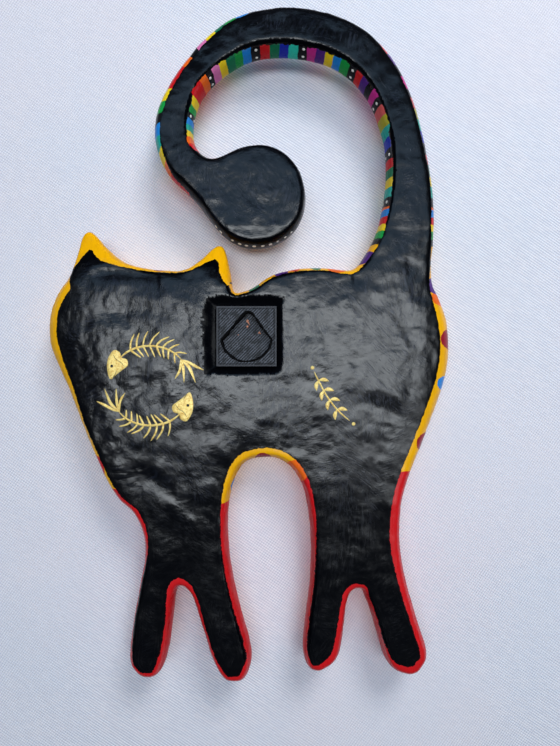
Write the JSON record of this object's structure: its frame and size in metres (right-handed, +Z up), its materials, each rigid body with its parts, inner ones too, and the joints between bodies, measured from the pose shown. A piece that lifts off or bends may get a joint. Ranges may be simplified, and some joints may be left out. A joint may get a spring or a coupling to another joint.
{
  "type": "papier-mache cat wall figure",
  "caption": "Painted papier-mache cat for a wall, tail curled over its back, layered cardboard core and a square hanger block in the black back",
  "frame": {"origin": "the wall plane where the nail's shank sits, at the round top of the hanger block's recess", "axes": "+Z up as the cat hangs, +Y into the wall, +X to the right as seen from the front, towards the head"},
  "size_m": [0.2758, 0.036, 0.4635],
  "materials": {
    "paper_black": "varnished black paint over pasted paper, streaky grey-blue sheen",
    "paper_painted": "varnished bright paint over pasted paper",
    "board": "corrugated board, raw",
    "wire": "galvanised wire",
    "stick": "raw bamboo",
    "wad": "crumpled newsprint without print, pasted",
    "hanger": "printed black plastic with fine diagonal lines",
    "face_paint": "varnished paint over paper pulp",
    "nose_paint": "glossy black paint over paper pulp",
    "eye_paint": "glossy paint over paper pulp"
  },
  "bodies": {
    "root": {"back_skin": "paper_black", "front_skin": "paper_painted", "board_back": "board", "board_middle": "board", "board_front": "board", "tail_wire": "wire", "leg_sticks": "stick", "ear_card_left": "board", "ear_card_right": "board", "head_pad": "wad", "haunch_pad": "wad", "shoulder_pad": "wad", "knob_pad": "wad", "hanger_block": "hanger", "muzzle": "face_paint", "nose": "nose_paint", "eye_left": "eye_paint", "eye_right": "eye_paint"}
  },
  "joints": []
}
